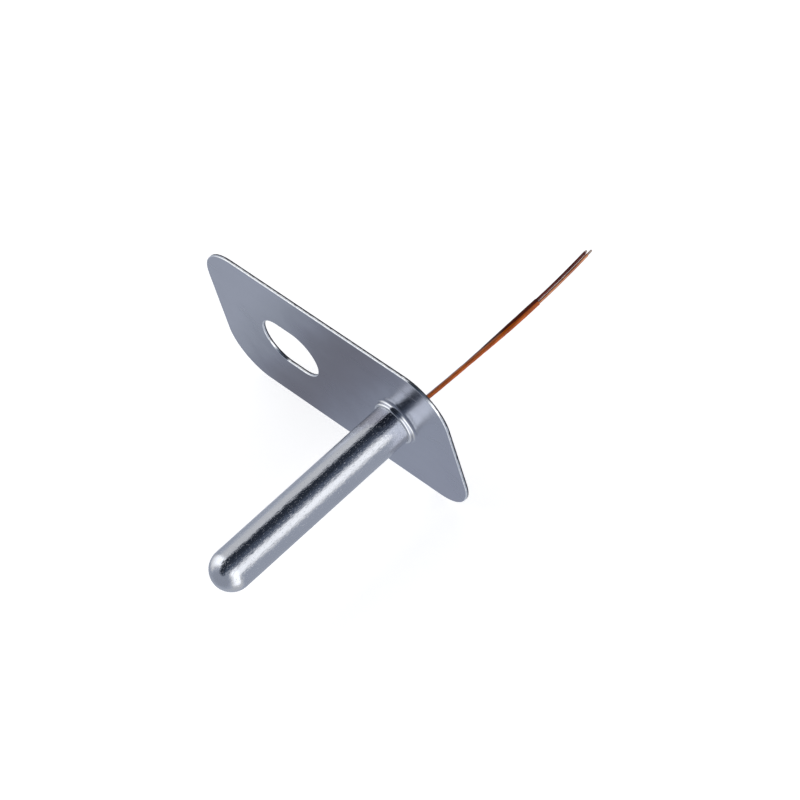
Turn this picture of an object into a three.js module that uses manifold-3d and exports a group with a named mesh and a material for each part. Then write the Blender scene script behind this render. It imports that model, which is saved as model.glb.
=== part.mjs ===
// A flange-mounted temperature probe: a closed stainless sheath standing square on a stamped
// plate, with a glass-sealed sensing element potted in its tip and a two-wire lead at its rear.
//
// Millimetres. The origin is the centre of the plate's seating face. +X runs along the plate
// towards the sheath, -Y along the sheath towards its tip, +Z across the plate.

import * as THREE from 'three';
import { mergeVertices } from 'three/addons/utils/BufferGeometryUtils.js';
import Module from 'manifold-3d';

const wasm = await Module();
wasm.setup();

// ---------------------------------------------------------------- driving dimensions

const GAP = 0.03; // play left between pieces that touch

const PLATE_LENGTH = 47.3;
const PLATE_WIDTH = 24.6;
const PLATE_THICKNESS = 0.5;
const PLATE_CORNER_RADIUS = 6.5;
const SLOT_X = -8.9; // the screw slot's middle
const SLOT_END_RADIUS = 4;
const SLOT_HALF_STRAIGHT = 1.4;

const SHEATH_X = 12.2;
const SHEATH_RADIUS = 3;
const SHEATH_WALL = 0.3;
const SHEATH_TIP_Y = -33.5;
const SHEATH_REAR_Y = 1;
const FLARE_START_Y = 0.1; // where the rear end begins to open out
const FLARE_WIDTH = 0.55; // how far it opens, at 45 degrees

const NECK_WALL = 0.37;
const NECK_HEIGHT = 0.86; // how far the drawn neck stands in front of the plate
const NECK_FILLET = 0.4;
const NECK_LIP = 0.1; // the broken edge at its front
const NECK_ROOT_RADIUS = 4.4; // where the drawn neck becomes flat plate

const FILLER_REAR_Y = -25; // thermal filler from the tip to here
const LINER_RADIUS = 2.55;
const LINER_WALL = 0.15;
const LINER_FRONT_Y = -24.9;
const LINER_REAR_Y = -3.2;
const SEAL_FRONT_Y = -3;
const SEAL_EDGE_Y = 0.35; // the sealing compound's rear face at the sheath's wall
const SEAL_CROWN_Y = 0.95; // and at its middle, drawn up around the lead

const BEAD_RADIUS = 0.85; // glass envelope around the chip
const BEAD_FRONT_Y = -31.7;
const BEAD_REAR_Y = -28.9;
const CHIP_WIDTH = 0.6;
const CHIP_THICKNESS = 0.32;
const CHIP_Y = -30.5;

const ELEMENT_LEAD_RADIUS = 0.11;
const ELEMENT_LEAD_REAR_Y = -20.2;
const SPLICE_OFFSET = 0.9; // each splice's distance from the sheath's axis
const SPLICE_RADIUS = 0.4;
const SPLICE_WALL = 0.18;
const SPLICE_FRONT_Y = -21.5;
const SPLICE_REAR_Y = -18.5;
const SPLICE_SLEEVE_RADIUS = 0.62;
const SPLICE_SLEEVE_WALL = 0.16;
const SPLICE_SLEEVE_FRONT_Y = -22.6;
const SPLICE_SLEEVE_REAR_Y = -17.2;

const CONDUCTOR_RADIUS = 0.14;
const ENAMEL_RADIUS = 0.21;
const ENAMEL_INNER_RADIUS = 0.17;
const ENAMEL_FRONT_Y = -18.2;
const ENAMEL_REAR_Y = 36.2; // the last stretch is bare, tinned wire
const WIRE_SPACING = 0.44; // between the two wires' centres where they run side by side
const SLEEVE_WALL = 0.055;
const SLEEVE_PLAY = 0.025;
const SLEEVE_FRONT_Y = -2.2;
const SLEEVE_REAR_Y = 26.2;

// The lead's plane is turned this far about the sheath's axis.
const LEAD_TURN = Math.atan2(0.6, 0.8);

// The lead's route in that plane: [y, the pair's offset from the sheath's axis, the distance
// from the pair's middle to each wire]. One wire is cut a little shorter than the other.
const HALF_SPACING = WIRE_SPACING / 2;
const LEAD_ROUTE = [
  [-19.8, 0, SPLICE_OFFSET],
  [-17, 0, SPLICE_OFFSET],
  [-14, 0.01, 0.78],
  [-10.5, 0.03, 0.48],
  [-7, 0.07, 0.27],
  [-4, 0.12, HALF_SPACING],
  [-1, 0.19, HALF_SPACING],
  [2, 0.3, HALF_SPACING],
  [6, 0.49, HALF_SPACING],
  [10, 0.64, HALF_SPACING],
  [14, 0.75, HALF_SPACING],
  [18, 0.81, HALF_SPACING],
  [22, 0.84, HALF_SPACING],
  [26, 0.82, HALF_SPACING],
  [28.5, 0.78, HALF_SPACING],
  [31, 0.69, HALF_SPACING],
  [34, 0.54, HALF_SPACING],
  [37.2, 0.33, HALF_SPACING],
];
const WIRE_ENDS_Y = { a: 36.5, b: 37.1 };

// The flat pair stands nearly on edge where it leaves the sheath and turns flat further on.
const LEAD_TWIST = THREE.MathUtils.degToRad(72);
const TWIST_STARTS = [-14, -4];
const TWIST_ENDS = [12, 25];

const ROUND_SEGMENTS = 48;
const SMALL_SEGMENTS = 16;
const WIRE_SIDES = 8;

// ---------------------------------------------------------------- geometry helpers

// One closed body: shared vertices merged, flat triangles dropped, faces pointing out.
function closed(geometry) {
  const bare = geometry.clone();
  bare.deleteAttribute('normal');
  bare.deleteAttribute('uv');
  const merged = mergeVertices(bare, 1e-5);
  const position = merged.getAttribute('position');
  const index = merged.getIndex().array;
  const corners = [new THREE.Vector3(), new THREE.Vector3(), new THREE.Vector3()];
  const kept = [];
  let volume = 0;
  for (let i = 0; i < index.length; i += 3) {
    const [a, b, c] = [index[i], index[i + 1], index[i + 2]];
    if (a === b || b === c || c === a) continue;
    corners.forEach((corner, k) => corner.fromBufferAttribute(position, index[i + k]));
    volume += corners[0].dot(corners[1].clone().cross(corners[2]));
    kept.push([a, b, c]);
  }
  merged.setIndex(kept.flatMap(([a, b, c]) => (volume < 0 ? [a, c, b] : [a, b, c])));
  return merged;
}

function toSolid(geometry) {
  const body = closed(geometry);
  return new wasm.Manifold(new wasm.Mesh({
    numProp: 3,
    vertProperties: new Float32Array(body.getAttribute('position').array),
    triVerts: new Uint32Array(body.getIndex().array),
  }));
}

function toGeometry(solid) {
  const mesh = solid.getMesh();
  const geometry = new THREE.BufferGeometry();
  geometry.setAttribute('position', new THREE.BufferAttribute(mesh.vertProperties, 3));
  geometry.setIndex(new THREE.BufferAttribute(mesh.triVerts, 1));
  return geometry;
}

// A body turned about the Y axis, from [radius, y] points.
function turned(profile, segments = ROUND_SEGMENTS) {
  const points = profile.map(([radius, y]) => new THREE.Vector2(radius, y));
  return closed(new THREE.LatheGeometry(points, segments));
}

// A straight tube along Y, open at both ends.
function tube(radius, wall, frontY, rearY, segments = SMALL_SEGMENTS) {
  const inner = radius - wall;
  return turned([
    [inner, frontY], [radius, frontY], [radius, rearY], [inner, rearY], [inner, frontY],
  ], segments);
}

// Points of an arc of [radius, y] profile points around a centre on the axis.
function axisArc(centreY, radius, fromDegrees, toDegrees, steps) {
  return Array.from({ length: steps + 1 }, (_, i) => {
    const angle = THREE.MathUtils.degToRad(fromDegrees + ((toDegrees - fromDegrees) * i) / steps);
    const onAxis = Math.abs(Math.cos(angle)) < 1e-9;
    return [onAxis ? 0 : radius * Math.cos(angle), centreY + radius * Math.sin(angle)];
  });
}

// An outline in X and Z, thickened along Y from y = 0.
function sheet(shape, thickness) {
  const geometry = new THREE.ExtrudeGeometry(shape, {
    depth: thickness, bevelEnabled: false, curveSegments: 12,
  });
  return geometry.applyMatrix4(new THREE.Matrix4().set(
    1, 0, 0, 0,
    0, 0, 1, 0,
    0, -1, 0, 0,
    0, 0, 0, 1,
  ));
}

function circle(x, radius, segments = ROUND_SEGMENTS) {
  const points = Array.from({ length: segments }, (_, i) => {
    const angle = (2 * Math.PI * i) / segments;
    return new THREE.Vector2(x + radius * Math.cos(angle), radius * Math.sin(angle));
  });
  return new THREE.Path(points);
}

// A slot along the shape's X, as a path for a hole.
function slot(x, halfStraight, radius, endSteps = 20) {
  const points = [];
  for (const side of [1, -1]) {
    for (let i = 0; i <= endSteps; i += 1) {
      const angle = Math.PI * (i / endSteps - side / 2);
      points.push(new THREE.Vector2(
        x + side * halfStraight + radius * Math.cos(angle),
        radius * Math.sin(angle),
      ));
    }
  }
  return new THREE.Path(points);
}

// A long section with round ends. Its length lies along the shape's Y, which an extrusion
// along a path in the XY plane lays in that plane.
function stadium(Type, halfStraight, radius, endSteps = 5) {
  const points = [];
  for (const side of [1, -1]) {
    for (let i = 0; i <= endSteps; i += 1) {
      const angle = (side > 0 ? 0 : Math.PI) + (Math.PI * i) / endSteps;
      points.push(new THREE.Vector2(
        radius * Math.cos(angle),
        side * halfStraight + radius * Math.sin(angle),
      ));
    }
  }
  return new Type(points);
}

// A smooth line through the route's column of that number, as a function of y.
function alongRoute(column) {
  const line = new THREE.SplineCurve(LEAD_ROUTE.map((row) => new THREE.Vector2(row[0], row[column])));
  const samples = line.getPoints(400);
  return (y) => {
    const next = Math.max(1, samples.findIndex((sample) => sample.x >= y));
    const [before, after] = [samples[next - 1], samples[next]];
    return THREE.MathUtils.mapLinear(y, before.x, after.x, before.y, after.y);
  };
}

const routeOffset = alongRoute(1);
const routeSpread = alongRoute(2);

function routeTwist(y) {
  const { smoothstep } = THREE.MathUtils;
  return LEAD_TWIST * smoothstep(y, ...TWIST_STARTS) * (1 - smoothstep(y, ...TWIST_ENDS));
}

// Sweeps a section along the lead, between two values of y: along the pair's middle (side 0)
// or along one of its wires (side 1 or -1). The straight sweep is then laid on the route.
function sweptOnLead(shape, side, fromY, toY, steps) {
  const stops = Array.from({ length: steps + 1 }, (_, i) => fromY + ((toY - fromY) * i) / steps);
  const path = new THREE.CatmullRomCurve3(
    stops.map((y) => new THREE.Vector3(side * routeSpread(y), y, 0)),
  );
  const geometry = new THREE.ExtrudeGeometry(shape, { extrudePath: path, steps });
  const position = geometry.getAttribute('position');
  for (let i = 0; i < position.count; i += 1) {
    const [x, y, z] = [position.getX(i), position.getY(i), position.getZ(i)];
    const [cos, sin] = [Math.cos(routeTwist(y)), Math.sin(routeTwist(y))];
    position.setXYZ(i, routeOffset(y) + x * cos - z * sin, y, x * sin + z * cos);
  }
  return closed(geometry);
}

function part(name, geometry, { color, roughness, metalness }) {
  const material = new THREE.MeshStandardMaterial({ color, roughness, metalness });
  const mesh = new THREE.Mesh(geometry, material);
  mesh.name = name;
  return mesh;
}

// ---------------------------------------------------------------- materials

const PLATE_STEEL = { color: 0x80858f, roughness: 0.28, metalness: 1 };
const SHEATH_STEEL = { color: 0x999eab, roughness: 0.22, metalness: 1 };
const CERAMIC = { color: 0x3a3633, roughness: 0.6, metalness: 0 };
const GLASS = { color: 0xb9cdc4, roughness: 0.1, metalness: 0 };
const LEAD_WIRE = { color: 0xb08d5a, roughness: 0.35, metalness: 1 };
const TINNED = { color: 0xb8bac0, roughness: 0.3, metalness: 1 };
const FLUOROPOLYMER = { color: 0xe6e6e0, roughness: 0.5, metalness: 0 };
const LINER_FILM = { color: 0xb5671c, roughness: 0.3, metalness: 0 };
const FILLER = { color: 0xd8d8d2, roughness: 0.7, metalness: 0 };
const SEALANT = { color: 0x2a2422, roughness: 0.4, metalness: 0 };
const AMBER_FILM = { color: 0xb14a16, roughness: 0.2, metalness: 0 };
const ENAMEL_DARK = { color: 0x5a2412, roughness: 0.25, metalness: 0.3 };
const ENAMEL_COPPER = { color: 0xc4622c, roughness: 0.22, metalness: 0.5 };

// ---------------------------------------------------------------- the plate and the sheath

function flangePlate() {
  const outline = new THREE.Shape();
  const [halfLength, halfWidth] = [PLATE_LENGTH / 2, PLATE_WIDTH / 2];
  const corner = PLATE_CORNER_RADIUS;
  outline.moveTo(-halfLength + corner, -halfWidth);
  outline.lineTo(halfLength - corner, -halfWidth);
  outline.absarc(halfLength - corner, -halfWidth + corner, corner, -Math.PI / 2, 0);
  outline.lineTo(halfLength, halfWidth - corner);
  outline.absarc(halfLength - corner, halfWidth - corner, corner, 0, Math.PI / 2);
  outline.lineTo(-halfLength + corner, halfWidth);
  outline.absarc(-halfLength + corner, halfWidth - corner, corner, Math.PI / 2, Math.PI);
  outline.lineTo(-halfLength, -halfWidth + corner);
  outline.absarc(-halfLength + corner, -halfWidth + corner, corner, Math.PI, 1.5 * Math.PI);
  outline.holes.push(slot(SLOT_X, SLOT_HALF_STRAIGHT, SLOT_END_RADIUS));
  outline.holes.push(circle(SHEATH_X, NECK_ROOT_RADIUS - 0.1));

  const bore = SHEATH_RADIUS + GAP;
  const outside = bore + NECK_WALL;
  const countersinkY = FLARE_START_Y - GAP;
  const fillet = [180, 157.5, 135, 112.5, 90].map((degrees) => {
    const angle = THREE.MathUtils.degToRad(degrees);
    return [
      outside + NECK_FILLET * (1 + Math.cos(angle)),
      NECK_FILLET * (Math.sin(angle) - 1),
    ];
  });
  const neck = turned([
    [bore, -NECK_HEIGHT],
    [outside - NECK_LIP, -NECK_HEIGHT],
    [outside, -NECK_HEIGHT + NECK_LIP],
    ...fillet,
    [NECK_ROOT_RADIUS, 0],
    [NECK_ROOT_RADIUS, PLATE_THICKNESS],
    [bore + PLATE_THICKNESS - countersinkY, PLATE_THICKNESS],
    [bore, countersinkY],
    [bore, -NECK_HEIGHT],
  ]).translate(SHEATH_X, 0, 0);
  return toGeometry(toSolid(sheet(outline, PLATE_THICKNESS)).add(toSolid(neck)));
}

function probeSheath() {
  const outer = SHEATH_RADIUS;
  const inner = SHEATH_RADIUS - SHEATH_WALL;
  const domeY = SHEATH_TIP_Y + SHEATH_RADIUS;
  const rim = outer + FLARE_WIDTH;
  return turned([
    ...axisArc(domeY, outer, -90, 0, 10),
    [outer, FLARE_START_Y],
    [rim, FLARE_START_Y + FLARE_WIDTH],
    [rim, SHEATH_REAR_Y],
    [rim - SHEATH_WALL, SHEATH_REAR_Y],
    [inner, FLARE_START_Y + 0.15],
    ...axisArc(domeY, inner, 0, -90, 10),
  ]);
}

// ---------------------------------------------------------------- inside the sheath

function glassEnvelope() {
  const middleY = (BEAD_FRONT_Y + BEAD_REAR_Y) / 2;
  const straight = (BEAD_REAR_Y - BEAD_FRONT_Y) / 2 - BEAD_RADIUS;
  const bead = toSolid(turned([
    ...axisArc(middleY - straight, BEAD_RADIUS, -90, 0, 6),
    ...axisArc(middleY + straight, BEAD_RADIUS, 0, 90, 6),
  ], 24));
  const pocket = toSolid(new THREE.BoxGeometry(
    CHIP_THICKNESS + 4 * ELEMENT_LEAD_RADIUS + 6 * GAP,
    CHIP_WIDTH + 2 * GAP,
    CHIP_WIDTH + 2 * GAP,
  ).translate(0, CHIP_Y, 0));
  const channels = [1, -1].map((side) => toSolid(
    bar(ELEMENT_LEAD_RADIUS + GAP, CHIP_Y, BEAD_REAR_Y + 1)
      .translate(side * elementLeadOffset(), 0, 0),
  ));
  return toGeometry(channels.reduce((left, cut) => left.subtract(cut), bead.subtract(pocket)));
}

// A plain round bar along Y.
function bar(radius, frontY, rearY, segments = SMALL_SEGMENTS) {
  return turned([[0, frontY], [radius, frontY], [radius, rearY], [0, rearY]], segments);
}

function elementLeadOffset() {
  return CHIP_THICKNESS / 2 + GAP + ELEMENT_LEAD_RADIUS;
}

function elementLead(side) {
  const start = side * elementLeadOffset();
  const end = side * SPLICE_OFFSET;
  const path = new THREE.CatmullRomCurve3([
    new THREE.Vector3(start, CHIP_Y - CHIP_WIDTH / 2 + GAP, 0),
    new THREE.Vector3(start, BEAD_REAR_Y, 0),
    new THREE.Vector3(start, BEAD_REAR_Y + 1.2, 0),
    new THREE.Vector3((start + end) / 2, (BEAD_REAR_Y + SPLICE_SLEEVE_FRONT_Y) / 2, 0),
    new THREE.Vector3(end, SPLICE_SLEEVE_FRONT_Y - 0.8, 0),
    new THREE.Vector3(end, SPLICE_FRONT_Y, 0),
    new THREE.Vector3(end, ELEMENT_LEAD_REAR_Y, 0),
  ]);
  const section = new THREE.Shape(circle(0, ELEMENT_LEAD_RADIUS, WIRE_SIDES).getPoints());
  return closed(new THREE.ExtrudeGeometry(section, { extrudePath: path, steps: 28 }));
}

// Filler cast around the glass envelope and its leads, open where the leads come out.
function tipCompound() {
  const radius = SHEATH_RADIUS - SHEATH_WALL - GAP;
  const domeY = SHEATH_TIP_Y + SHEATH_RADIUS;
  const cast = toSolid(turned([
    ...axisArc(domeY, radius, -90, 0, 10),
    [radius, FILLER_REAR_Y],
    [0, FILLER_REAR_Y],
  ]));
  const beadRoom = toSolid(turned([
    [0, BEAD_FRONT_Y - 2 * GAP],
    [BEAD_RADIUS * 0.8, BEAD_FRONT_Y + 0.1],
    [BEAD_RADIUS + 2 * GAP, BEAD_FRONT_Y + BEAD_RADIUS * 0.8],
    [BEAD_RADIUS + 2 * GAP, BEAD_REAR_Y - BEAD_RADIUS * 0.8],
    [BEAD_RADIUS * 0.95, FILLER_REAR_Y + 1],
    [0, FILLER_REAR_Y + 1],
  ], 24));
  return toGeometry(cast.subtract(beadRoom));
}

// Sealing compound that closes the sheath's open end, cast around the lead.
function rearSeal() {
  const radius = SHEATH_RADIUS - SHEATH_WALL - GAP;
  const plug = toSolid(turned([
    [0, SEAL_FRONT_Y],
    [radius, SEAL_FRONT_Y],
    [radius, SEAL_EDGE_Y - 0.15],
    [radius * 0.8, SEAL_EDGE_Y + 0.05],
    [radius * 0.5, SEAL_EDGE_Y + 0.2],
    [radius * 0.32, SEAL_CROWN_Y],
    [0, SEAL_CROWN_Y],
  ]));
  const channel = stadium(THREE.Shape, HALF_SPACING, sleeveRadius() + GAP);
  const lead = toSolid(sweptOnLead(channel, 0, SEAL_FRONT_Y - 0.6, SEAL_CROWN_Y + 1, 6));
  return toGeometry(plug.subtract(lead));
}

// ---------------------------------------------------------------- the lead

function sleeveRadius() {
  return ENAMEL_RADIUS + SLEEVE_PLAY + SLEEVE_WALL;
}

function leadSleeve() {
  const section = stadium(THREE.Shape, HALF_SPACING, sleeveRadius());
  section.holes.push(stadium(THREE.Path, HALF_SPACING, ENAMEL_RADIUS + SLEEVE_PLAY));
  return sweptOnLead(section, 0, SLEEVE_FRONT_Y, SLEEVE_REAR_Y, 28);
}

function conductor(side, endY) {
  const section = new THREE.Shape(circle(0, CONDUCTOR_RADIUS, WIRE_SIDES).getPoints());
  return sweptOnLead(section, side, LEAD_ROUTE[0][0], endY, 60);
}

function insulation(side) {
  const section = new THREE.Shape(circle(0, ENAMEL_RADIUS, WIRE_SIDES).getPoints());
  section.holes.push(circle(0, ENAMEL_INNER_RADIUS, WIRE_SIDES));
  return sweptOnLead(section, side, ENAMEL_FRONT_Y, ENAMEL_REAR_Y, 56);
}

// ---------------------------------------------------------------- the assembly

const probe = new THREE.Group();
probe.add(part('flange_plate', flangePlate(), PLATE_STEEL));

const onSheath = new THREE.Group();
onSheath.position.x = SHEATH_X;
probe.add(onSheath);
onSheath.add(part('probe_sheath', probeSheath(), SHEATH_STEEL));
onSheath.add(part('tip_compound', tipCompound(), FILLER));
onSheath.add(part('inner_liner', tube(
  LINER_RADIUS, LINER_WALL, LINER_FRONT_Y, LINER_REAR_Y, ROUND_SEGMENTS,
), LINER_FILM));

const inLeadPlane = new THREE.Group();
inLeadPlane.rotation.y = LEAD_TURN;
onSheath.add(inLeadPlane);
inLeadPlane.add(part('rear_seal', rearSeal(), SEALANT));
inLeadPlane.add(part('glass_envelope', glassEnvelope(), GLASS));
const chip = part('thermistor_chip', new THREE.BoxGeometry(
  CHIP_THICKNESS, CHIP_WIDTH, CHIP_WIDTH,
), CERAMIC);
chip.position.y = CHIP_Y;
inLeadPlane.add(chip);
inLeadPlane.add(part('lead_sleeve', leadSleeve(), AMBER_FILM));

for (const [letter, side, enamel] of [['a', -1, ENAMEL_DARK], ['b', 1, ENAMEL_COPPER]]) {
  inLeadPlane.add(part(`element_lead_${letter}`, elementLead(side), LEAD_WIRE));
  const splice = part(`splice_${letter}`, tube(
    SPLICE_RADIUS, SPLICE_WALL, SPLICE_FRONT_Y, SPLICE_REAR_Y,
  ), TINNED);
  const spliceSleeve = part(`splice_sleeve_${letter}`, tube(
    SPLICE_SLEEVE_RADIUS, SPLICE_SLEEVE_WALL, SPLICE_SLEEVE_FRONT_Y, SPLICE_SLEEVE_REAR_Y,
  ), FLUOROPOLYMER);
  for (const piece of [splice, spliceSleeve]) {
    piece.position.x = side * SPLICE_OFFSET;
    inLeadPlane.add(piece);
  }
  inLeadPlane.add(part(`conductor_${letter}`, conductor(side, WIRE_ENDS_Y[letter]), TINNED));
  inLeadPlane.add(part(`insulation_${letter}`, insulation(side), enamel));
}

export default probe;
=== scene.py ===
"""The looks of a flange-mounted probe: a bright closed sheath on a thin stamped plate, with a
short amber lead. Everything is in metres, in the row frame: +X runs along the plate towards the
sheath, -Y along the sheath towards its tip, and +Z across the plate."""

import math

import bmesh
import bpy
from mathutils import Matrix, Vector


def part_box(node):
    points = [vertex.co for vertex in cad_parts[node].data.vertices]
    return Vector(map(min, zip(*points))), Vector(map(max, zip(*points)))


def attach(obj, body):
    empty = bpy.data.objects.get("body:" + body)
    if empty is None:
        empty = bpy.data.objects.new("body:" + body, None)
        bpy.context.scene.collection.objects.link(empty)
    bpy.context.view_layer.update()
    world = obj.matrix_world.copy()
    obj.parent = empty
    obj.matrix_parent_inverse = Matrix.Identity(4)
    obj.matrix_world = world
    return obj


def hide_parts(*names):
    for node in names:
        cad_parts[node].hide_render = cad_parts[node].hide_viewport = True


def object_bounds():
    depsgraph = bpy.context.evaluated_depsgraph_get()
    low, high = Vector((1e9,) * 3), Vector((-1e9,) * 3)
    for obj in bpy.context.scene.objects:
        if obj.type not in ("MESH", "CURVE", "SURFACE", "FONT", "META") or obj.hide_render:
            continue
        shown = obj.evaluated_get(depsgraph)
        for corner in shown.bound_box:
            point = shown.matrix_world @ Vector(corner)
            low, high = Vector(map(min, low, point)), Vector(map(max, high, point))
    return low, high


MM = 0.001

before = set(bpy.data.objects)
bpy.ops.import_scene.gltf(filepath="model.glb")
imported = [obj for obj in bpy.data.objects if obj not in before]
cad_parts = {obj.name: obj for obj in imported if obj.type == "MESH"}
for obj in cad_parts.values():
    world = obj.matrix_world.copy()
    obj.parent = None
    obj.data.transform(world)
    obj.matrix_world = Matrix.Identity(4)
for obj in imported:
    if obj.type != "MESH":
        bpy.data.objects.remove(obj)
CAD_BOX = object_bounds()

# ------------------------------------------------------------------ sizes, from the frame

PLATE_LOW, PLATE_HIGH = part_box("flange_plate")
SHEATH_LOW, SHEATH_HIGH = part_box("probe_sheath")
SEAL_LOW, SEAL_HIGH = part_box("rear_seal")

SHEATH_X = (SHEATH_LOW.x + SHEATH_HIGH.x) / 2
SHEATH_TIP_Y = SHEATH_LOW.y
SHEATH_REAR_Y = SHEATH_HIGH.y
SHEATH_RADIUS = 3 * MM
SHEATH_WALL = 0.3 * MM
FLARE_RADIUS = (SHEATH_HIGH.x - SHEATH_LOW.x) / 2

PLATE_THICKNESS = PLATE_HIGH.y
PLATE_CORNER_RADIUS = 6.5 * MM
SLOT_X = -8.9 * MM
SLOT_END_RADIUS = 4 * MM
SLOT_HALF_STRAIGHT = 1.4 * MM
NECK_FRONT_Y = PLATE_LOW.y
NECK_BORE = 3.03 * MM
NECK_RADIUS = 3.4 * MM
NECK_FILLET = 0.4 * MM
NECK_LIP = 0.33 * MM
NECK_ROOT_RADIUS = 4.4 * MM

# ------------------------------------------------------------------ the lead's route

LEAD_TURN = math.atan2(0.6, 0.8)
WIRE_RADIUS = 0.21 * MM
CONDUCTOR_RADIUS = 0.16 * MM
# The lead's lengths from here on are in millimetres.
HALF_SPACING = 0.22
SPLICE_OFFSET = 0.9
MIDDLE = 1  # the route's columns
SPREAD = 2
LEAD_ROUTE = [  # y, offset of the pair's middle, distance from it to each wire
    (-19.8, 0, SPLICE_OFFSET),
    (-17, 0, SPLICE_OFFSET),
    (-14, 0.01, 0.78),
    (-10.5, 0.03, 0.48),
    (-7, 0.07, 0.27),
    (-4, 0.12, HALF_SPACING),
    (-1, 0.19, HALF_SPACING),
    (2, 0.3, HALF_SPACING),
    (6, 0.49, HALF_SPACING),
    (10, 0.64, HALF_SPACING),
    (14, 0.75, HALF_SPACING),
    (18, 0.81, HALF_SPACING),
    (22, 0.84, HALF_SPACING),
    (26, 0.82, HALF_SPACING),
    (28.5, 0.78, HALF_SPACING),
    (31, 0.69, HALF_SPACING),
    (34, 0.54, HALF_SPACING),
    (37.2, 0.33, HALF_SPACING),
]
WIRE_ENDS_Y = {"a": 36.5, "b": 37.1}
ENAMEL_FRONT_Y = -18.2
ENAMEL_REAR_Y = 36.2
SLEEVE_FRONT_Y = -2.2
SLEEVE_REAR_Y = 26.2
LEAD_TWIST = math.radians(72)
TWIST_STARTS = (-14, -4)
TWIST_ENDS = (12, 25)


def smoothstep(low, high, value):
    t = min(1.0, max(0.0, (value - low) / (high - low)))
    return t * t * (3 - 2 * t)


def on_route(column, y):
    """The route's column at y: a cubic through its rows, in millimetres."""
    last = len(LEAD_ROUTE) - 1
    i = next((k for k in range(last) if y <= LEAD_ROUTE[k + 1][0]), last - 1)

    def slope(k):
        before, after = LEAD_ROUTE[max(0, k - 1)], LEAD_ROUTE[min(last, k + 1)]
        return (after[column] - before[column]) / (after[0] - before[0])

    y0, y1 = LEAD_ROUTE[i][0], LEAD_ROUTE[i + 1][0]
    v0, v1 = LEAD_ROUTE[i][column], LEAD_ROUTE[i + 1][column]
    step = y1 - y0
    t = (y - y0) / step
    return (
        (2 * t**3 - 3 * t**2 + 1) * v0
        + (t**3 - 2 * t**2 + t) * step * slope(i)
        + (3 * t**2 - 2 * t**3) * v1
        + (t**3 - t**2) * step * slope(i + 1)
    )


def lead_point(y, across, through):
    """A point of the lead at y, from its place in the pair's own section, all in millimetres."""
    twist = LEAD_TWIST * smoothstep(*TWIST_STARTS, y) * (1 - smoothstep(*TWIST_ENDS, y))
    x = on_route(MIDDLE, y) + across * math.cos(twist) - through * math.sin(twist)
    z = across * math.sin(twist) + through * math.cos(twist)
    return Vector((
        SHEATH_X + MM * (x * math.cos(LEAD_TURN) + z * math.sin(LEAD_TURN)),
        MM * y,
        MM * (-x * math.sin(LEAD_TURN) + z * math.cos(LEAD_TURN)),
    ))


# ------------------------------------------------------------------ camera

CAMERA_AZIMUTH = math.radians(60)
CAMERA_ELEVATION = math.radians(48.75)
CAMERA_ROLL = math.radians(18.5)
CAMERA_DISTANCE = 0.5294
CAMERA_LENS = 180
CAMERA_CLIP_START = 0.01
AIM = Vector((SHEATH_X - 0.93 * MM, 2.05 * MM, 1.6 * MM))


def make_camera():
    data = bpy.data.cameras.new("camera")
    data.lens = CAMERA_LENS
    data.clip_start = CAMERA_CLIP_START
    camera = bpy.data.objects.new("camera", data)
    bpy.context.scene.collection.objects.link(camera)
    level = math.cos(CAMERA_ELEVATION)
    back = Vector((
        level * math.sin(CAMERA_AZIMUTH),
        -level * math.cos(CAMERA_AZIMUTH),
        math.sin(CAMERA_ELEVATION),
    ))
    flat_right = Vector((math.cos(CAMERA_AZIMUTH), math.sin(CAMERA_AZIMUTH), 0))
    flat_up = back.cross(flat_right)
    right = math.cos(CAMERA_ROLL) * flat_right - math.sin(CAMERA_ROLL) * flat_up
    up = back.cross(right)
    turn = Matrix((right, up, back)).transposed().to_4x4()
    camera.matrix_world = Matrix.Translation(AIM + CAMERA_DISTANCE * back) @ turn
    bpy.context.scene.camera = camera


# ------------------------------------------------------------------ mesh helpers

SHARP_ANGLE = math.radians(38)
SAME_PLACE = 1e-8
ROUND_SEGMENTS = 128


def finish_mesh(name, bm):
    """An object of that mesh: welded, facing outwards, smooth except at its sharp edges."""
    bmesh.ops.remove_doubles(bm, verts=bm.verts, dist=SAME_PLACE)
    bmesh.ops.recalc_face_normals(bm, faces=bm.faces)
    mesh = bpy.data.meshes.new(name)
    bm.to_mesh(mesh)
    bm.free()
    mesh.shade_smooth()
    mesh.set_sharp_from_angle(angle=SHARP_ANGLE)
    piece = bpy.data.objects.new(name, mesh)
    bpy.context.scene.collection.objects.link(piece)
    return piece


def bridge(bm, lower, upper):
    """Faces between two closed rings of the same count. A ring of one vertex is a pole."""
    faces = []
    count = max(len(lower), len(upper))
    for i in range(count):
        j = (i + 1) % count
        corners = [
            lower[i % len(lower)],
            lower[j % len(lower)],
            upper[j % len(upper)],
            upper[i % len(upper)],
        ]
        unique = [v for k, v in enumerate(corners) if v not in corners[:k]]
        faces.append(bm.faces.new(unique))
    return faces


def arc(centre, radius, start_degrees, end_degrees, steps):
    """Points of an arc in a profile's plane, both ends included."""
    points = []
    for i in range(steps + 1):
        angle = math.radians(start_degrees + (end_degrees - start_degrees) * i / steps)
        points.append((
            centre[0] + radius * math.cos(angle),
            centre[1] + radius * math.sin(angle),
        ))
    return points


def ring(bm, x, radius, y, segments=ROUND_SEGMENTS):
    """Vertices of a circle about the line along Y through x. With no radius it is a pole."""
    if radius < SAME_PLACE:
        return [bm.verts.new((x, y, 0))]
    angles = [2 * math.pi * i / segments for i in range(segments)]
    return [bm.verts.new((x + radius * math.cos(a), y, radius * math.sin(a))) for a in angles]


def bridge_all(bm, rings):
    for lower, upper in zip(rings, rings[1:]):
        bridge(bm, lower, upper)


# ------------------------------------------------------------------ the flange plate

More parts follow.
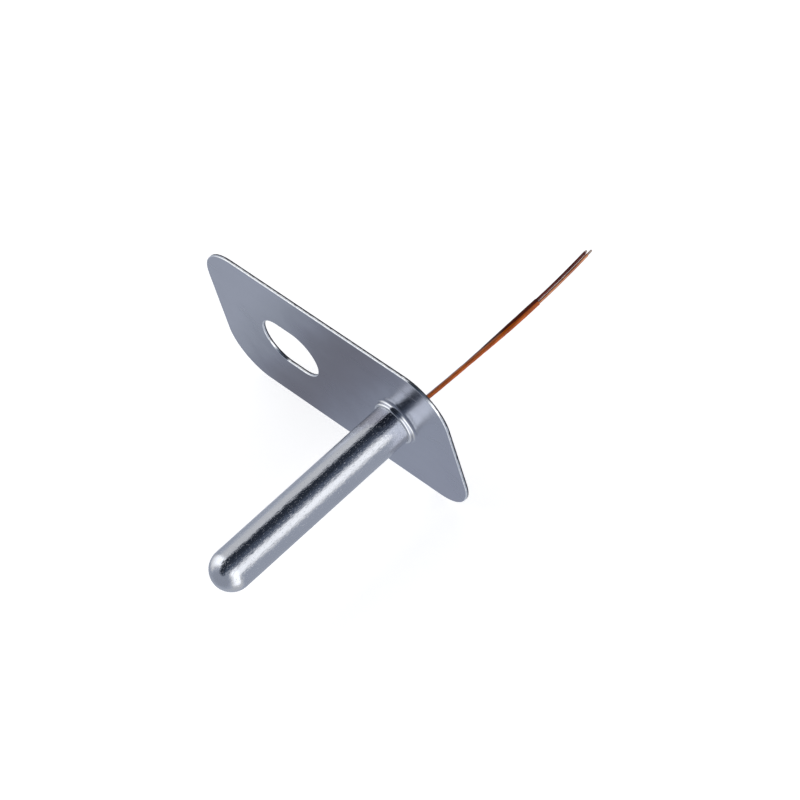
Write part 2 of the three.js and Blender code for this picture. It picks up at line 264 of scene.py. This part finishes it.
EDGE_ROLL = 0.09 * MM  # the soft edge that the punch leaves on the seating side
EDGE_BREAK = 0.035 * MM  # the deburred edge on the other side
EDGE_ROLL_STEPS = 5
EDGE_BREAK_STEPS = 3
OUTLINE_ARC_STEPS = 18
SLOT_ARC_STEPS = 40
NECK_ARC_STEPS = 10
SUPPORT = 0.12 * MM  # a narrow flat border that keeps the faces' shading true


def rounded_outline(inset):
    """The plate's outline, moved in by inset, as (x, z) points."""
    half_x = PLATE_HIGH.x - inset
    half_z = PLATE_HIGH.z - inset
    radius = PLATE_CORNER_RADIUS - inset
    points = []
    corners = [(1, 1, 0), (-1, 1, 90), (-1, -1, 180), (1, -1, 270)]
    for side_x, side_z, start in corners:
        centre = (side_x * (half_x - radius), side_z * (half_z - radius))
        points += arc(centre, radius, start, start + 90, OUTLINE_ARC_STEPS)
    return points


def slot_outline(inset):
    """The screw slot's outline, moved into the plate by inset, as (x, z) points."""
    points = []
    for side, start in ((1, -90), (-1, 90)):
        centre = (SLOT_X + side * SLOT_HALF_STRAIGHT, 0)
        points += arc(centre, SLOT_END_RADIUS + inset, start, start + 180, SLOT_ARC_STEPS)
    return points


def edge_profile():
    """(inset, y) points round a stamped edge, from the seating face to the rear face."""
    front = arc((EDGE_ROLL, EDGE_ROLL), EDGE_ROLL, 270, 180, EDGE_ROLL_STEPS)
    rear_centre = (EDGE_BREAK, PLATE_THICKNESS - EDGE_BREAK)
    rear = arc(rear_centre, EDGE_BREAK, 180, 90, EDGE_BREAK_STEPS)
    return [
        (EDGE_ROLL + SUPPORT, 0),
        *front,
        *rear,
        (EDGE_BREAK + SUPPORT, PLATE_THICKNESS),
    ]


def neck_profile():
    """(radius, y) points from the seating face, over the drawn neck, to the rear face."""
    mouth = 0.1 * MM
    countersink_y = 0.07 * MM
    countersink_radius = NECK_BORE + PLATE_THICKNESS - countersink_y
    fillet_centre = (NECK_RADIUS + NECK_FILLET, -NECK_FILLET)
    lip_centre = (NECK_RADIUS - NECK_LIP, NECK_FRONT_Y + NECK_LIP)
    return [
        (NECK_ROOT_RADIUS, 0),
        (NECK_RADIUS + NECK_FILLET + SUPPORT, 0),
        *arc(fillet_centre, NECK_FILLET, 90, 180, NECK_ARC_STEPS),
        *arc(lip_centre, NECK_LIP, 0, -90, NECK_ARC_STEPS),
        (NECK_BORE, NECK_FRONT_Y),
        (NECK_BORE, countersink_y),
        (countersink_radius - mouth, PLATE_THICKNESS - mouth),
        (countersink_radius, PLATE_THICKNESS),
        (countersink_radius + SUPPORT, PLATE_THICKNESS),
        (NECK_ROOT_RADIUS, PLATE_THICKNESS),
    ]


def make_plate():
    """The stamped plate. Its second material is for the stamped edges."""
    bm = bmesh.new()
    edge_faces = []
    outer, slot = [
        [
            [bm.verts.new((x, y, z)) for x, z in outline(inset)]
            for inset, y in edge_profile()
        ]
        for outline in (rounded_outline, slot_outline)
    ]
    neck = [ring(bm, SHEATH_X, radius, y) for radius, y in neck_profile()]
    for rings in (outer, slot):
        for k, (lower, upper) in enumerate(zip(rings, rings[1:])):
            faces = bridge(bm, lower, upper)
            is_flat_border = k in (0, len(rings) - 2)
            if not is_flat_border:
                edge_faces += faces
    bridge_all(bm, neck)
    for face_side in (0, -1):  # the seating face, then the rear face
        loops = [outer[face_side], slot[face_side], neck[face_side]]
        edges = []
        for loop in loops:
            for i, vertex in enumerate(loop):
                edges.append(bm.edges.get((vertex, loop[(i + 1) % len(loop)])))
        bmesh.ops.triangle_fill(bm, use_beauty=True, edges=edges)
    for face in edge_faces:
        face.material_index = 1
    plate = finish_mesh("stamped_plate", bm)
    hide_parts("flange_plate")
    return plate


# ------------------------------------------------------------------ the sheath and its seal

POLE_DEGREES = -86  # where the round tip's last ring stands, next to its pole
DOME_STEPS = 24
BORE_DOME_STEPS = 12
FLARE_Y = 0.1 * MM
FLARE_BORE_Y = 0.25 * MM
RIM_ROUND = 0.1 * MM
RIM_STEPS = 4
SEAL_SEGMENTS = 64
SEAL_STEPS = 20


def sheath_profile():
    """(radius, y) points from the tip's pole, over the flared rear end, back down the bore."""
    dome_y = SHEATH_TIP_Y + SHEATH_RADIUS
    straight_start = dome_y + 1 * MM
    straight_end = -2 * MM
    bore = SHEATH_RADIUS - SHEATH_WALL
    rim_bore = FLARE_RADIUS - SHEATH_WALL
    rim_y = SHEATH_REAR_Y - RIM_ROUND
    return [
        (0, SHEATH_TIP_Y),
        *arc((0, dome_y), SHEATH_RADIUS, POLE_DEGREES, 0, DOME_STEPS),
        (SHEATH_RADIUS, straight_start),
        (SHEATH_RADIUS, straight_end),
        (SHEATH_RADIUS, FLARE_Y),
        (FLARE_RADIUS, FLARE_Y + FLARE_RADIUS - SHEATH_RADIUS),
        *arc((FLARE_RADIUS - RIM_ROUND, rim_y), RIM_ROUND, 0, 90, RIM_STEPS),
        *arc((rim_bore + RIM_ROUND, rim_y), RIM_ROUND, 90, 180, RIM_STEPS),
        (bore, FLARE_BORE_Y),
        *arc((0, dome_y), bore, 0, POLE_DEGREES, BORE_DOME_STEPS),
        (0, SHEATH_TIP_Y + SHEATH_WALL),
    ]


def make_sheath():
    bm = bmesh.new()
    bridge_all(bm, [ring(bm, SHEATH_X, radius, y) for radius, y in sheath_profile()])
    sheath = finish_mesh("bright_sheath", bm)
    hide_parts("probe_sheath")
    return sheath


def make_seal():
    """Cast compound with a meniscus: it climbs the sheath's wall and the lead."""
    gap = 0.03 * MM
    radius = SHEATH_RADIUS - SHEATH_WALL - gap
    lead_room = 0.48 * MM
    edge_y = 0.3 * MM
    crown_y = edge_y + 0.6 * MM
    lead_climb = 0.55 * MM
    climb_start = 0.62
    slope = 0.12 * MM
    sag = 0.1 * MM
    exit_middle = lead_point(SEAL_HIGH.y / MM, 0, 0)
    bm = bmesh.new()
    rings = [ring(bm, SHEATH_X, size, SEAL_LOW.y, SEAL_SEGMENTS) for size in (0, radius)]
    for i in range(SEAL_STEPS + 1):
        t = i / SEAL_STEPS
        climb = lead_climb * smoothstep(climb_start, 1, t)
        climb += slope * t - sag * math.sin(math.pi * t)
        size = radius * (1 - t) + lead_room * t
        level = ring(bm, SHEATH_X, size, edge_y + climb, SEAL_SEGMENTS)
        lean = t * t
        for vertex in level:
            vertex.co.x += lean * (exit_middle.x - SHEATH_X)
            vertex.co.z += lean * exit_middle.z
        rings.append(level)
    rings.append([bm.verts.new((exit_middle.x, crown_y, exit_middle.z))])
    bridge_all(bm, rings)
    seal = finish_mesh("cast_seal", bm)
    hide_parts("rear_seal")
    return seal


# ------------------------------------------------------------------ the lead

WIRE_SIDES = 16
WIRE_END_STEPS = 5
WIRE_END_SHRINK = 0.35
ENAMEL_END_ROUND = 0.06  # in millimetres, as the next four
CONDUCTOR_END_ROUND = 0.1
SLEEVE_OUTER_RADIUS = 0.285
SLEEVE_INNER_RADIUS = 0.235
LEAD_STEP = 0.45
SLEEVE_END_STEPS = 9


def stops(from_y, to_y):
    """Places along the lead, evenly spaced, both ends included, in millimetres."""
    count = max(2, round((to_y - from_y) / LEAD_STEP))
    return [from_y + (to_y - from_y) * i / count for i in range(count + 1)]


def wire_line(side, from_y, to_y):
    return [lead_point(y, side * on_route(SPREAD, y), 0) for y in stops(from_y, to_y)]


def swept_wire(name, side, from_y, to_y, radius, round_end):
    """A closed round wire along one side of the pair, with a rounded far end."""
    bm = bmesh.new()
    radius_mm = radius / MM
    stations = [(y, radius_mm) for y in stops(from_y, to_y - round_end)]
    for i in range(1, WIRE_END_STEPS):
        angle = math.radians(90 * i / WIRE_END_STEPS)
        stations.append((
            to_y - round_end + round_end * math.sin(angle),
            radius_mm * (1 - WIRE_END_SHRINK * (1 - math.cos(angle))),
        ))
    rings = []
    for y, size in stations:
        middle = side * on_route(SPREAD, y)
        points = arc((middle, 0), size, 0, 360 - 360 / WIRE_SIDES, WIRE_SIDES - 1)
        rings.append([bm.verts.new(lead_point(y, *point)) for point in points])
    bridge_all(bm, rings)
    for end in (rings[0], rings[-1]):
        bm.faces.new(end)
    return finish_mesh(name, bm)


def sleeve_section(half_straight, radius):
    """Points round the flat section: wire b's half, then wire a's half."""
    half_b = arc((half_straight, 0), radius, -90, 90, SLEEVE_END_STEPS)
    half_a = arc((-half_straight, 0), radius, 90, 270, SLEEVE_END_STEPS)
    return [(0, -radius), *half_b, (0, radius), *half_a]


def sleeve_swell(y):
    """The tube's girth along the lead, slightly uneven, as a share of its usual one."""
    return 1 + 0.02 * math.sin(1.9 * y) + 0.015 * math.sin(4.3 * y + 1)


def make_sleeve():
    """The flat amber tube: outer wall, cut ends and inner wall, as one closed body.

    Its first material is on wire b's half and its second on wire a's.
    """
    bm = bmesh.new()
    outside, inside = [], []
    for y in stops(SLEEVE_FRONT_Y, SLEEVE_REAR_Y):
        outer_radius = SLEEVE_OUTER_RADIUS * sleeve_swell(y)
        for rings, radius in ((outside, outer_radius), (inside, SLEEVE_INNER_RADIUS)):
            section = sleeve_section(HALF_SPACING, radius)
            rings.append([bm.verts.new(lead_point(y, *point)) for point in section])
    bands = [pair for rings in (outside, inside) for pair in zip(rings, rings[1:])]
    bands += [(outside[0], inside[0]), (outside[-1], inside[-1])]
    for lower, upper in bands:
        for i, face in enumerate(bridge(bm, lower, upper)):
            face.material_index = 0 if i < len(lower) // 2 else 1
    sleeve = finish_mesh("amber_sleeve", bm)
    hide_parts("lead_sleeve")
    return sleeve


def make_wires():
    """Both wires, each with its conductor's bare end on it."""
    exit_y = SEAL_HIGH.y / MM
    for letter, side, enamel_slot in (("a", -1, "enamel_dark"), ("b", 1, "enamel_copper")):
        end_y = WIRE_ENDS_Y[letter]
        core = swept_wire(
            f"conductor_end_{letter}", side, LEAD_ROUTE[0][0], end_y,
            CONDUCTOR_RADIUS, CONDUCTOR_END_ROUND,
        )
        wire = swept_wire(
            f"enamelled_wire_{letter}", side, ENAMEL_FRONT_Y, ENAMEL_REAR_Y,
            WIRE_RADIUS, ENAMEL_END_ROUND,
        )
        line = wire_line(side, ENAMEL_FRONT_Y, ENAMEL_REAR_Y)
        core.data.materials.append(MATERIALS["tinned"])
        wire.data.materials.append(MATERIALS[enamel_slot])
        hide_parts(f"conductor_{letter}")
        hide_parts(f"insulation_{letter}")
        for piece in (core, wire):
            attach(piece, "root")
        tuple(lead_point(exit_y, side * HALF_SPACING, 0))


# ------------------------------------------------------------------ materials

MATERIALS = {}

NOISE_RANGE = (0.3, 0.7)  # where most of a noise lies

# The mix node repeats its socket names for each kind of data, so its colours go by number.
COLOR_A = 6
COLOR_B = 7
COLOR_RESULT = 2


class Nodes:
    """A node tree with short calls for its nodes."""

    def __init__(self, tree):
        self.tree = tree

    def node(self, kind, **settings):
        made = self.tree.nodes.new(kind)
        for key, value in settings.items():
            setattr(made, key, value)
        return made

    def link(self, output, target):
        self.tree.links.new(output, target)

    def maths(self, operation, a, b):
        made = self.node("ShaderNodeMath", operation=operation)
        for socket, value in zip(made.inputs, (a, b)):
            if isinstance(value, (int, float)):
                socket.default_value = value
            else:
                self.link(value, socket)
        return made.outputs["Value"]

    def map(self, value, low, high, to_low, to_high, shape="LINEAR"):
        made = self.node("ShaderNodeMapRange", interpolation_type=shape)
        for key, number in zip(
            ("From Min", "From Max", "To Min", "To Max"), (low, high, to_low, to_high)
        ):
            made.inputs[key].default_value = number
        self.link(value, made.inputs["Value"])
        return made.outputs["Result"]

    def mix(self, factor, color_a, color_b):
        made = self.node("ShaderNodeMix", data_type="RGBA")
        self.link(factor, made.inputs["Factor"])
        for socket, color in zip((COLOR_A, COLOR_B), (color_a, color_b)):
            if isinstance(color, tuple):
                made.inputs[socket].default_value = (*color, 1)
            else:
                self.link(color, made.inputs[socket])
        return made.outputs[COLOR_RESULT]

    def axes(self, place):
        split = self.node("ShaderNodeSeparateXYZ")
        self.link(place, split.inputs["Vector"])
        return split.outputs


class Look(Nodes):
    """A Principled material with short calls for its nodes."""

    def __init__(self, name, color, roughness, metallic=0.0, **inputs):
        material = bpy.data.materials.new(name)
        material.use_nodes = True
        super().__init__(material.node_tree)
        self.material = material
        self.shader = self.tree.nodes["Principled BSDF"]
        self.set("Base Color", (*color, 1))
        self.set("Roughness", roughness)
        self.set("Metallic", metallic)
        for key, value in inputs.items():
            self.set(key.replace("_", " ").title().replace("Ior", "IOR"), value)
        self.place = self.node("ShaderNodeTexCoord").outputs["Object"]
        MATERIALS[name] = material

    def set(self, socket, value):
        self.shader.inputs[socket].default_value = value

    def noise(self, size_mm, stretch=(1, 1, 1), detail=4, distortion=0.0):
        """Noise with features of about that size, longer along an axis by stretch."""
        mapping = self.node("ShaderNodeMapping")
        mapping.inputs["Scale"].default_value = [1 / s for s in stretch]
        texture = self.node("ShaderNodeTexNoise")
        texture.inputs["Scale"].default_value = 1 / (size_mm * MM)
        texture.inputs["Detail"].default_value = detail
        texture.inputs["Distortion"].default_value = distortion
        self.link(self.place, mapping.inputs["Vector"])
        self.link(mapping.outputs["Vector"], texture.inputs["Vector"])
        return texture.outputs["Fac"]

    def spread(self, noise, to_low, to_high):
        return self.map(noise, *NOISE_RANGE, to_low, to_high)

    def ramp(self, value, stops):
        """A colour along a value in metres, from (millimetres, colour) stops."""
        low, high = stops[0][0], stops[-1][0]
        made = self.node("ShaderNodeValToRGB")
        made.color_ramp.interpolation = "CARDINAL"
        elements = made.color_ramp.elements
        while len(elements) < len(stops):
            elements.new(0.5)
        for element, (place, color) in zip(elements, stops):
            element.position = (place - low) / (high - low)
            element.color = (*color, 1)
        self.link(self.map(value, low * MM, high * MM, 0, 1), made.inputs["Fac"])
        return made.outputs["Color"]

    def colour(self, output):
        self.link(output, self.shader.inputs["Base Color"])

    def roughness(self, output):
        self.link(output, self.shader.inputs["Roughness"])

    def bump(self, height, depth_mm, strength):
        made = self.node("ShaderNodeBump")
        made.inputs["Strength"].default_value = strength
        made.inputs["Distance"].default_value = depth_mm * MM
        self.link(height, made.inputs["Height"])
        self.link(made.outputs["Normal"], self.shader.inputs["Normal"])


# The plate's colour along a line that crosses it slantwise: (millimetres, colour). The ends are the
# sheet's own grey; the dark band in the middle is a painted reflection of something dark.
PLATE_TONES_WITH_PAINTED_REFLECTION = [
    (-20, (0.54, 0.56, 0.62)),
    (-14, (0.44, 0.46, 0.51)),
    (-10, (0.32, 0.33, 0.385)),
    (-6, (0.23, 0.23, 0.27)),
    (0, (0.21, 0.205, 0.245)),
    (6, (0.28, 0.29, 0.35)),
    (14, (0.43, 0.455, 0.525)),
    (26, (0.445, 0.46, 0.535)),
]
PAINTED_REFLECTION_SLANT = 0.8
PAINTED_REFLECTION_DRIFT = 1.6 * MM
# The rear face is mostly this even tone, so it keeps only part of the painted reflection.
REAR_TONE = (0.46, 0.475, 0.51)
REAR_SHARE = 0.7
# The drawn neck keeps this bright steel tone, free of the painted reflection.
NECK_TONE = (0.64, 0.66, 0.7)
NECK_POLISH = 0.45  # the neck's roughness as a share of the plate's


def plate_look():
    """Smooth rolled sheet with a satin mirror sheen, polished where the neck was drawn, and a
    painted dark reflection across its middle.
    """
    look = Look("plate", (0.5, 0.52, 0.56), 0.2, 1.0)
    streaks = look.noise(0.16, (60, 1, 1), detail=3)
    smudges = look.noise(3.2, (2, 1, 1), detail=5, distortion=0.4)
    wander = look.noise(7, detail=3)
    reflection_drift = look.spread(wander, -PAINTED_REFLECTION_DRIFT, PAINTED_REFLECTION_DRIFT)
    axes = look.axes(look.place)
    slant = look.maths("MULTIPLY", axes["Z"], -PAINTED_REFLECTION_SLANT)
    place = look.maths("ADD", look.maths("ADD", axes["X"], slant), reflection_drift)
    rearward = look.map(axes["Y"], 0.1 * MM, 0.4 * MM, 0, REAR_SHARE)
    drawn = look.map(axes["Y"], -0.05 * MM, -0.25 * MM, 0, 1)
    # The painted dark reflection across the faces, weaker on the rear face and left off the drawn
    # neck.
    faces = look.mix(rearward, look.ramp(place, PLATE_TONES_WITH_PAINTED_REFLECTION), REAR_TONE)
    look.colour(look.mix(drawn, faces, NECK_TONE))
    rough = look.maths(
        "ADD",
        look.map(smudges, 0.35, 0.7, 0.21, 0.28),
        look.spread(streaks, -0.015, 0.02),
    )
    polish = look.map(drawn, 0, 1, 1, NECK_POLISH)
    look.roughness(look.maths("MULTIPLY", rough, polish))
    look.bump(streaks, 0.0006, 0.5)


TEAR_STARTS_Y = 0.25 * MM
TEAR_ENDS_Y = 0.31 * MM
TEAR_WOBBLE = 0.06 * MM
# The sheared band's own tone, then the near-white of its painted glints.
SHEARED_TONE_AND_PAINTED_GLINT = ((0.74, 0.78, 0.84), (0.97, 0.98, 1.0))
TORN_TONE = (0.1, 0.1, 0.115)


def plate_edge_look():
    """A sheared band that the punch polished, speckled with painted glints, then a rough torn band
    towards the rear.
    """
    look = Look("plate_edge", (0.7, 0.71, 0.74), 0.2, 1.0)
    wobble = look.spread(look.noise(0.5, detail=3), -TEAR_WOBBLE, TEAR_WOBBLE)
    depth = look.maths("ADD", look.axes(look.place)["Y"], wobble)
    torn = look.map(depth, TEAR_STARTS_Y, TEAR_ENDS_Y, 0, 1)
    # Random near-white specks on the sheared band: painted glints.
    painted_glints = look.map(look.noise(0.22, detail=4), 0.42, 0.6, 0, 1)
    sheared = look.mix(painted_glints, *SHEARED_TONE_AND_PAINTED_GLINT)
    look.colour(look.mix(torn, sheared, TORN_TONE))
    look.roughness(look.map(torn, 0, 1, 0.18, 0.5))
    look.bump(look.noise(0.06, (1, 6, 1), detail=4), 0.002, 0.6)


def sheath_look():
    """Bright drawn steel, peppered with fine matt specks."""
    look = Look("sheath", (0.6, 0.62, 0.67), 0.15, 1.0)
    draw_lines = look.noise(0.1, (1, 70, 1), detail=3)
    grain = look.noise(0.4, (1, 1.6, 1), detail=6)
    specks = look.map(look.noise(0.16, (1, 1.8, 1), detail=2), 0.56, 0.68, 0, 1)
    clouds = look.noise(5, (1, 2, 1), detail=3)
    tone = look.spread(clouds, 0, 1)
    look.colour(look.mix(tone, (0.57, 0.59, 0.64), (0.63, 0.65, 0.7)))
    rough = look.maths(
        "ADD",
        look.spread(draw_lines, 0.1, 0.15),
        look.maths("MULTIPLY", specks, 0.3),
    )
    look.roughness(rough)
    height = look.maths("ADD", look.maths("MULTIPLY", draw_lines, 0.3), grain)
    look.bump(height, 0.038, 0.85)


def seal_look():
    """Dark cast epoxy with a little dust on its skin."""
    look = Look("seal", (0.035, 0.03, 0.028), 0.3)
    dust = look.map(look.noise(0.12, detail=6), 0.45, 0.75, 0, 1)
    look.colour(look.mix(dust, (0.03, 0.026, 0.025), (0.075, 0.065, 0.06)))
    look.roughness(look.spread(look.noise(0.8, detail=3), 0.22, 0.42))
    look.bump(look.noise(0.5, detail=3), 0.02, 0.4)


def amber_look(name, dark, light):
    """Clear amber film, dark or bright after the wire that shows through it."""
    look = Look(
        name, light, 0.25,
        transmission_weight=0.1, ior=1.4, coat_weight=0.12, coat_roughness=0.1,
    )
    bands = look.noise(0.35, (1, 9, 1), detail=3)
    look.colour(look.mix(look.spread(bands, 0, 1), dark, light))
    look.roughness(look.spread(look.noise(0.25, (1, 4, 1), detail=4), 0.16, 0.3))
    look.bump(look.noise(0.3, (1, 5, 1), detail=4), 0.01, 0.5)


def enamel_look(name, dark, light):
    """Clear enamel over copper: a tinted metal under a hard gloss coat."""
    look = Look(name, light, 0.24, 0.85, coat_weight=0.25, coat_roughness=0.1, coat_ior=1.5)
    lines = look.noise(0.09, (1, 25, 1), detail=4)
    patches = look.noise(0.9, (1, 2.5, 1), detail=3)
    line_tone = look.spread(lines, 0.4, 1)
    patch_tone = look.map(patches, 0.3, 0.65, 0.3, 1)
    look.colour(look.mix(look.maths("MULTIPLY", line_tone, patch_tone), dark, light))
    look.roughness(look.spread(lines, 0.2, 0.34))
    look.bump(lines, 0.003, 0.5)


def tinned_look():
    """Tin over copper, thin and reddish in places."""
    look = Look("tinned", (0.62, 0.6, 0.58), 0.28, 1.0)
    lumps = look.noise(0.2, (1, 2, 1), detail=5)
    thickness = look.map(lumps, 0.35, 0.7, 0, 1)
    look.colour(look.mix(thickness, (0.45, 0.28, 0.2), (0.66, 0.58, 0.52)))
    look.roughness(look.spread(lumps, 0.2, 0.42))
    look.bump(lumps, 0.02, 0.6)


def hidden_look(name, dark, light, roughness, size_mm, metallic=0.0, **inputs):
    """A simple two-tone finish with a fine grain, for the pieces inside the sheath."""
    look = Look(name, light, roughness, metallic, **inputs)
    grain = look.noise(size_mm, detail=5)
    look.colour(look.mix(look.map(grain, 0.35, 0.7, 0, 1), dark, light))
    look.roughness(look.spread(grain, roughness * 0.8, roughness * 1.2))
    look.bump(grain, size_mm * 0.04, 0.5)


def make_materials():
    plate_look()
    plate_edge_look()
    sheath_look()
    seal_look()
    amber_look("amber_on_copper", (0.3, 0.05, 0.002), (0.66, 0.14, 0.004))
    amber_look("amber_on_dark", (0.04, 0.006, 0.004), (0.13, 0.018, 0.004))
    enamel_look("enamel_dark", (0.03, 0.006, 0.008), (0.24, 0.05, 0.035))
    enamel_look("enamel_copper", (0.42, 0.1, 0.035), (0.95, 0.45, 0.24))
    tinned_look()
    hidden_look("ceramic", (0.03, 0.028, 0.026), (0.08, 0.075, 0.07), 0.6, 0.06)
    hidden_look("filler", (0.62, 0.62, 0.59), (0.8, 0.8, 0.77), 0.7, 0.15)
    hidden_look("fluoropolymer", (0.74, 0.74, 0.71), (0.86, 0.86, 0.83), 0.45, 0.3)
    hidden_look("liner", (0.4, 0.14, 0.025), (0.58, 0.24, 0.05), 0.25, 0.8)
    hidden_look("element_wire", (0.4, 0.25, 0.14), (0.66, 0.46, 0.3), 0.35, 0.1, 1.0)
    hidden_look(
        "bead_glass", (0.7, 0.84, 0.78), (0.78, 0.9, 0.85), 0.06, 0.5,
        transmission_weight=0.9, ior=1.52,
    )


HIDDEN_NODES = {
    "thermistor_chip": "ceramic",
    "glass_envelope": "bead_glass",
    "element_lead_a": "element_wire",
    "element_lead_b": "element_wire",
    "splice_a": "tinned",
    "splice_b": "tinned",
    "splice_sleeve_a": "fluoropolymer",
    "splice_sleeve_b": "fluoropolymer",
    "inner_liner": "liner",
    "tip_compound": "filler",
}


def dress_hidden_nodes():
    for node, finish in HIDDEN_NODES.items():
        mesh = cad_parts[node].data
        mesh.materials.clear()
        mesh.materials.append(MATERIALS[finish])


# ------------------------------------------------------------------ floor and light

FLOOR_HALF = 3
FLOOR_GLOW = 0.66


def make_floor():
    level = CAD_BOX[0].z
    sides = [(-1, -1), (1, -1), (1, 1), (-1, 1)]
    corners = [(x * FLOOR_HALF, y * FLOOR_HALF, level) for x, y in sides]
    mesh = bpy.data.meshes.new("floor")
    mesh.from_pydata(corners, [], [(0, 1, 2, 3)])
    floor = bpy.data.objects.new("floor", mesh)
    bpy.context.scene.collection.objects.link(floor)
    look = Look("floor", (0.86, 0.86, 0.865), 0.75)
    look.set("Emission Color", (1, 1, 1, 1))
    look.set("Emission Strength", FLOOR_GLOW)
    mottle = look.noise(9, detail=3)
    look.colour(look.mix(mottle, (0.815, 0.815, 0.82), (0.835, 0.835, 0.84)))
    floor.data.materials.append(look.material)
    floor.visible_glossy = False  # the metal mirrors the studio, not this white sheet


# Brightness of the studio by the angle about the Y axis, from +X up over the top to -X. A
# bright box stands low on the +X side, the ceiling is dark, and the -X side is a pale screen.
STUDIO_STOPS = [
    (-180, 0.47), (-10, 0.47), (15, 1.38), (30, 1.38), (56, 0.14), (82, 0.035), (110, 0.03),
    (115, 0.75), (140, 0.74), (180, 0.47),
]
FRONT_BOOST = [  # what is added to it on the -Y side
    (-180, 0.6), (-158, 0), (-20, 0.3), (35, 0.3), (58, 0), (112, 0), (118, 0.9), (150, 0.9),
    (180, 0.6),
]
FRONT_BOOST_Y = (0.2, -0.05)
BOX_DROP = math.radians(52)  # and the box reaches this much lower there
BOX_DROP_Y = (0.05, -0.25)
FRONT_LEVEL = 0.41  # straight towards -Y the box and the dark ceiling give way to this grey
BOX_FADE_Y = (-0.82, -0.38)
CEILING_FADE_Y = (-0.98, -0.91)
DIM_STRENGTHS = (0.05, 0.3)  # between these the tint goes from dark to low
BRIGHT_STRENGTHS = (0.5, 0.75)  # and between these from low to lit
DARK_TINT = (0.8, 1.0, 1.42)
LOW_TINT = (0.94, 1.0, 1.14)
LIT_TINT = (1.0, 1.0, 1.0)
BACKDROP = (0.95, 0.95, 0.955)


def studio_profile(studio, stops, level, angle, drop=None):
    """The brightness along an angle. The first rise comes earlier by the drop."""
    for (start, low), (end, high) in zip(stops, stops[1:]):
        if low != high:
            place = angle
            if drop and high > low:
                place = studio.maths("ADD", angle, drop)
                drop = None
            bounds = (math.radians(start), math.radians(end), 0, high - low)
            level = studio.maths("ADD", level, studio.map(place, *bounds, "SMOOTHSTEP"))
    return level


def studio_strength(studio):
    """The studio's brightness by direction: a profile round the Y axis that fades to FRONT_LEVEL."""
    axes = studio.axes(studio.node("ShaderNodeTexCoord").outputs["Generated"])

    def fade(bounds, to=1):
        return studio.map(axes["Y"], *bounds, 0, to, "SMOOTHSTEP")

    angle = studio.maths("ARCTAN2", axes["Z"], axes["X"])
    boost = studio_profile(studio, FRONT_BOOST, FRONT_BOOST[0][1], angle)
    boost = studio.maths("MULTIPLY", boost, fade(FRONT_BOOST_Y))
    base = STUDIO_STOPS[0][1] - FRONT_LEVEL
    round_about = studio_profile(studio, STUDIO_STOPS, base, angle, fade(BOX_DROP_Y, BOX_DROP))
    excess = studio.maths("ADD", round_about, boost)
    brighter = studio.maths("MAXIMUM", excess, 0)
    darker = studio.maths("MINIMUM", excess, 0)
    above = studio.maths("MULTIPLY", brighter, fade(BOX_FADE_Y))
    below = studio.maths("MULTIPLY", darker, fade(CEILING_FADE_Y))
    return studio.maths("ADD", studio.maths("ADD", above, below), FRONT_LEVEL)


def make_studio():
    """The world that lights the piece and that its metal mirrors, and a plain pale backdrop."""
    world = bpy.data.worlds.new("studio")
    bpy.context.scene.world = world
    world.use_nodes = True
    world.node_tree.nodes.clear()
    studio = Nodes(world.node_tree)
    strength = studio_strength(studio)
    dim = studio.map(strength, *DIM_STRENGTHS, 0, 1, "SMOOTHSTEP")
    bright = studio.map(strength, *BRIGHT_STRENGTHS, 0, 1, "SMOOTHSTEP")
    cool = studio.mix(dim, DARK_TINT, LOW_TINT)
    lit = studio.node("ShaderNodeBackground")
    studio.link(studio.mix(bright, cool, LIT_TINT), lit.inputs["Color"])
    studio.link(strength, lit.inputs["Strength"])
    seen = studio.node("ShaderNodeBackground")
    seen.inputs["Color"].default_value = (*BACKDROP, 1)
    path = studio.node("ShaderNodeLightPath")
    choice = studio.node("ShaderNodeMixShader")
    studio.link(path.outputs["Is Camera Ray"], choice.inputs["Fac"])
    studio.link(lit.outputs["Background"], choice.inputs[1])
    studio.link(seen.outputs["Background"], choice.inputs[2])
    out = studio.node("ShaderNodeOutputWorld")
    studio.link(choice.outputs["Shader"], out.inputs["Surface"])
    bpy.context.scene.view_settings.view_transform = "Standard"


# ------------------------------------------------------------------ the scene

make_camera()
make_materials()
sleeve = make_sleeve()
sleeve.data.materials.append(MATERIALS["amber_on_copper"])
sleeve.data.materials.append(MATERIALS["amber_on_dark"])
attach(sleeve, "root")
make_wires()
plate = make_plate()
plate.data.materials.append(MATERIALS["plate"])
plate.data.materials.append(MATERIALS["plate_edge"])
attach(plate, "root")
sheath = make_sheath()
sheath.data.materials.append(MATERIALS["sheath"])
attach(sheath, "root")
seal = make_seal()
seal.data.materials.append(MATERIALS["seal"])
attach(seal, "root")
dress_hidden_nodes()
make_floor()
make_studio()
